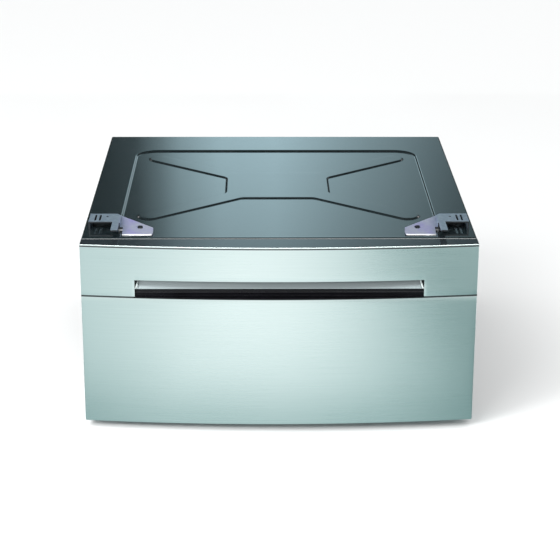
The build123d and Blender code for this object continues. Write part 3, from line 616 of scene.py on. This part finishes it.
def bow_path(breaks=()):
    """Plan of the skin from the right return, round the bow, to the left return: (x, y, nx, ny)."""
    back_y = upper_high.y
    y_corner = upper_low.y + BOW
    limit = HALF_W - CORNER_R
    xs = sorted({round(x, 6) for x in [*np.linspace(-limit, limit, 97), *breaks]})
    path = []
    for y in np.linspace(back_y, y_corner + CORNER_R * 1.3, 4):
        path.append((HALF_W, y, 1.0, 0.0))
    tilt = math.asin(limit / BOW_RADIUS)
    y_edge = upper_low.y + BOW_RADIUS - math.sqrt(BOW_RADIUS ** 2 - limit ** 2)
    for k in range(1, 5):
        a = (math.pi / 2 - tilt) * k / 5
        n = (math.cos(a), -math.sin(a))
        path.append((limit + CORNER_R * n[0], y_edge + CORNER_R * (1 + n[1]), *n))
    bow = []
    for x in xs:
        a = math.asin(x / BOW_RADIUS)
        y = upper_low.y + BOW_RADIUS * (1 - math.cos(a))
        bow.append((x, y, math.sin(a), -math.cos(a)))
    left = [(-x, y, -nx, ny) for x, y, nx, ny in reversed(path)]
    return path + bow[::-1] + left


def swept_skin(name, levels, replaced, breaks=(), keep=lambda x, z: True):
    """Sheet that follows the bow; levels are (outward offset, z) up the face."""
    path = bow_path(breaks)
    verts = [(x + nx * d, y + ny * d, z) for d, z in levels for x, y, nx, ny in path]
    n = len(path)
    faces = []
    for k in range(len(levels) - 1):
        z = (levels[k][1] + levels[k + 1][1]) / 2
        for i in range(n - 1):
            if keep((path[i][0] + path[i + 1][0]) / 2, z):
                a = k * n + i
                faces.append((a, a + n, a + n + 1, a + 1))
    obj = new_piece(name, verts, faces, replaced)
    mesh = bmesh.new()
    mesh.from_mesh(obj.data)
    loose = [v for v in mesh.verts if not v.link_faces]
    bmesh.ops.delete(mesh, geom=loose, context="VERTS")
    bmesh.ops.recalc_face_normals(mesh, faces=mesh.faces)
    mesh.to_mesh(obj.data)
    mesh.free()
    sheet(obj, SKIN)
    edge_radius(obj, SKIN_EDGE_RADIUS, 3, 50)


def rows(z0, z1, step=12 * MM):
    """Levels on the face itself, about a step apart."""
    count = max(2, int(round((z1 - z0) / step)) + 1)
    return [(0.0, z) for z in np.linspace(z0, z1, count)]


def front_skins():
    """Upper skin with its groove, hem and handle slot, and lower skin with its bottom hem."""
    z0, z1 = upper_low.z, upper_high.z
    groove_z0, groove_z1 = z1 - GROOVE_BOTTOM, z1 - GROOVE_TOP
    levels = rows(z0, SLOT_TOP) + rows(SLOT_TOP, groove_z0 - 0.5 * MM)[1:]
    levels += [(0.0, groove_z0), (-GROOVE_DEPTH, groove_z0 + GROOVE_WALL),
               (-GROOVE_DEPTH, groove_z1 - GROOVE_WALL), (0.0, groove_z1), (0.0, z1 - HEM),
               (-HEM_SHOULDER, z1 - HEM_SHOULDER_TOP), (-HEM_INSET, z1)]

    def outside_slot(x, z):
        return abs(x) > SLOT_HALF or z > SLOT_TOP

    swept_skin("upper_skin_sheet", levels, "drawer_front_upper_skin", (-SLOT_HALF, SLOT_HALF),
               outside_slot)
    z0, z1 = lower_low.z, lower_high.z
    levels = [(-HEM_INSET, z0), (-HEM_SHOULDER, z0 + HEM_SHOULDER_BOTTOM), (0.0, z0 + HEM)]
    levels += rows(z0 + 3 * MM, z1)
    swept_skin("lower_skin_sheet", levels, "drawer_front_lower_skin")


front_skins()


# ---- camera, floor and light ---------------------------------------------------------
CAMERA_AT = Vector((-36.4, -3116.9, 1283.3)) * MM
CAMERA_PITCH = math.radians(19.892)
CAMERA_YAW = math.radians(0.771)
CAMERA_ROLL = math.radians(0.196)
LENS = 110.02
SENSOR = 36.0


def camera():
    """Camera from its place, pitch, yaw and roll."""
    ahead = Vector((math.sin(CAMERA_YAW) * math.cos(CAMERA_PITCH),
                    math.cos(CAMERA_YAW) * math.cos(CAMERA_PITCH), -math.sin(CAMERA_PITCH)))
    right = Vector((math.cos(CAMERA_YAW), -math.sin(CAMERA_YAW), 0))
    up = right.cross(ahead)
    c, s = math.cos(CAMERA_ROLL), math.sin(CAMERA_ROLL)
    right, up = right * c + up * s, up * c - right * s
    data = bpy.data.cameras.new("camera")
    data.lens = LENS
    data.sensor_width = SENSOR
    data.clip_start, data.clip_end = 0.05, 100.0
    obj = bpy.data.objects.new("camera", data)
    bpy.context.scene.collection.objects.link(obj)
    turn = Matrix((right, up, -ahead)).transposed()
    obj.matrix_world = Matrix.Translation(CAMERA_AT) @ turn.to_4x4()
    bpy.context.scene.camera = obj


def plane(name, centre, size, normal, material):
    """Staged rectangle whose own X stays along the world's X."""
    half_x, half_y = size[0] / 2, size[1] / 2
    mesh = bpy.data.meshes.new(name)
    mesh.from_pydata([(-half_x, -half_y, 0), (half_x, -half_y, 0), (half_x, half_y, 0),
                      (-half_x, half_y, 0)], [], [(0, 1, 2, 3)])
    mesh.materials.append(material)
    obj = bpy.data.objects.new(name, mesh)
    obj.location = centre
    obj.rotation_mode = "QUATERNION"
    facing = Vector(normal)
    across = Vector((1, 0, 0))
    turn = Matrix((across, facing.cross(across), facing)).transposed()
    obj.rotation_quaternion = turn.to_quaternion()
    bpy.context.scene.collection.objects.link(obj)
    return obj


def floor():
    """Plain pale floor that runs well past the view on every side."""
    look = Look("pale_floor", (0.88, 0.89, 0.89), 0.0, 0.85)
    grain = look.noise(EVEN, 2.0, 2.0)
    look.rough(look.spread(grain, 0.8, 0.9))
    plane("floor", (0, 4, 0), (60, 60), (0, 0, 1), look.mat)


PLAIN = [(-0.1, 1.0), (0.1, 1.0)]
COOL = (0.7, 1.0, 1.1)


def profile(tree, source, length, stops, cool):
    """Ramp over a card's length; stops are (metres from its middle, share); dark stops cool."""
    scale = tree.nodes.new("ShaderNodeMath")
    scale.operation = "MULTIPLY_ADD"
    scale.inputs[1].default_value = 1.0 / length
    scale.inputs[2].default_value = 0.5
    ramp = tree.nodes.new("ShaderNodeValToRGB")
    tree.links.new(source, scale.inputs[0])
    tree.links.new(scale.outputs[0], ramp.inputs["Fac"])
    while len(ramp.color_ramp.elements) < len(stops):
        ramp.color_ramp.elements.new(0.5)
    for element, (place, share) in zip(ramp.color_ramp.elements, stops):
        element.position = place / length + 0.5
        element.color = (share ** cool, share, share, 1.0)
    return ramp.outputs["Color"]


def card(name, centre, size, normal, strength, tint, across=PLAIN, upward=PLAIN, cool=1.0):
    """Reflection card seen by gloss only: strength x tint x across x upward."""
    mat = bpy.data.materials.new(name)
    mat.use_nodes = True
    tree = mat.node_tree
    tree.nodes.clear()
    coord = tree.nodes.new("ShaderNodeTexCoord")
    split = tree.nodes.new("ShaderNodeSeparateXYZ")
    tree.links.new(coord.outputs["Object"], split.inputs[0])
    glow = tree.nodes.new("ShaderNodeEmission")
    glow.inputs["Strength"].default_value = strength
    out = tree.nodes.new("ShaderNodeOutputMaterial")
    both = tree.nodes.new("ShaderNodeVectorMath")
    both.operation = "MULTIPLY"
    tree.links.new(profile(tree, split.outputs["X"], size[0], across, cool), both.inputs[0])
    tree.links.new(profile(tree, split.outputs["Y"], size[1], upward, cool), both.inputs[1])
    tinted = tree.nodes.new("ShaderNodeVectorMath")
    tinted.operation = "MULTIPLY"
    tinted.inputs[1].default_value = tint
    tree.links.new(both.outputs[0], tinted.inputs[0])
    tree.links.new(tinted.outputs[0], glow.inputs["Color"])
    tree.links.new(glow.outputs[0], out.inputs["Surface"])
    obj = plane(name, centre, size, normal, mat)
    obj.visible_camera = False
    obj.visible_diffuse = False
    obj.visible_shadow = False
    obj.visible_transmission = False


def area_light(name, at, target, size, watts):
    """Soft lamp that gloss doesn't mirror."""
    data = bpy.data.lights.new(name, "AREA")
    data.shape = "RECTANGLE"
    data.size, data.size_y = size
    data.energy = watts
    obj = bpy.data.objects.new(name, data)
    obj.location = at
    obj.rotation_mode = "QUATERNION"
    obj.rotation_quaternion = (Vector(target) - Vector(at)).to_track_quat("-Z", "Y")
    obj.visible_glossy = False
    bpy.context.scene.collection.objects.link(obj)


def studio():
    """White surround; gloss cards that the top and the drawer front mirror; two soft lights."""
    world = bpy.data.worlds.new("studio")
    bpy.context.scene.world = world
    world.use_nodes = True
    back = world.node_tree.nodes["Background"]
    back.inputs["Color"].default_value = (1.0, 1.0, 1.0, 1.0)
    back.inputs["Strength"].default_value = 1.05
    # bright above the top's middle, falling off to both sides
    card("rear_reflection", (0.0, 2.2, 1.45), (3.2, 1.5), (0, -1, 0), 0.96, (0.70, 1.0, 1.10),
         [(-1.6, 0.02), (-0.64, 0.03), (-0.53, 0.05), (-0.43, 0.10), (-0.35, 0.33),
          (-0.29, 0.60), (-0.16, 0.93), (0.02, 1.0), (0.11, 0.86), (0.21, 0.69), (0.32, 0.53),
          (0.42, 0.42), (0.51, 0.31), (0.61, 0.20), (0.74, 0.11), (1.6, 0.08)],
         [(-0.75, 1.13), (-0.60, 1.1), (-0.30, 0.97), (0.05, 0.68), (0.75, 0.1)])
    # dark low behind and overhead, for the pressed edges and the hoods
    card("left_reflection", (-0.9, 2.15, 0.34), (1.9, 0.68), (0, -1, 0), 0.02, COOL)
    card("right_reflection", (1.2, 2.15, 0.34), (1.5, 0.68), (0, -1, 0), 0.03, COOL)
    card("middle_reflection", (0.25, 2.15, 0.34), (0.4, 0.68), (0, -1, 0), 0.42, (0.8, 1.0, 1.1))
    card("overhead_reflection", (0.0, 0.75, 2.2), (6.0, 3.2), (0, 0, -1), 0.02, (0.8, 1.0, 1.1))
    # bright strip for the upper edges of the front
    card("strip_reflection", (0.0, -1.5, 1.9), (3.6, 0.5), (0, 0.6, -0.8), 8.0, (0.95, 1.0, 1.0))
    # floor ahead of the drawer front, brightest at its middle and far from it
    card("front_reflection", (0.0, -2.27, 0.004), (5.0, 4.0), (0, 0, 1), 1.2, (0.92, 1.0, 1.0),
         [(-2.5, 0.6), (-0.7, 0.63), (-0.55, 0.63), (-0.35, 0.78), (-0.2, 0.97), (0.0, 1.0),
          (0.1, 0.93), (0.2, 0.82), (0.34, 0.58), (0.45, 0.36), (0.55, 0.23), (0.65, 0.26),
          (0.85, 0.40), (2.5, 0.5)],
         [(-2.0, 0.9), (0.6, 1.0), (1.07, 1.08), (1.31, 1.04), (1.63, 0.88), (1.845, 0.58),
          (2.0, 0.5)], 1.32)
    area_light("key", (-1.6, -2.4, 3.0), (0, 0, 0.2), (2.0, 1.6), 60)
    area_light("low_front", (-0.70, -1.1, 0.58), (-0.2, -0.35, 0.28), (0.4, 0.2), 9)
    bpy.context.scene.view_settings.view_transform = "Standard"


camera()
floor()
studio()
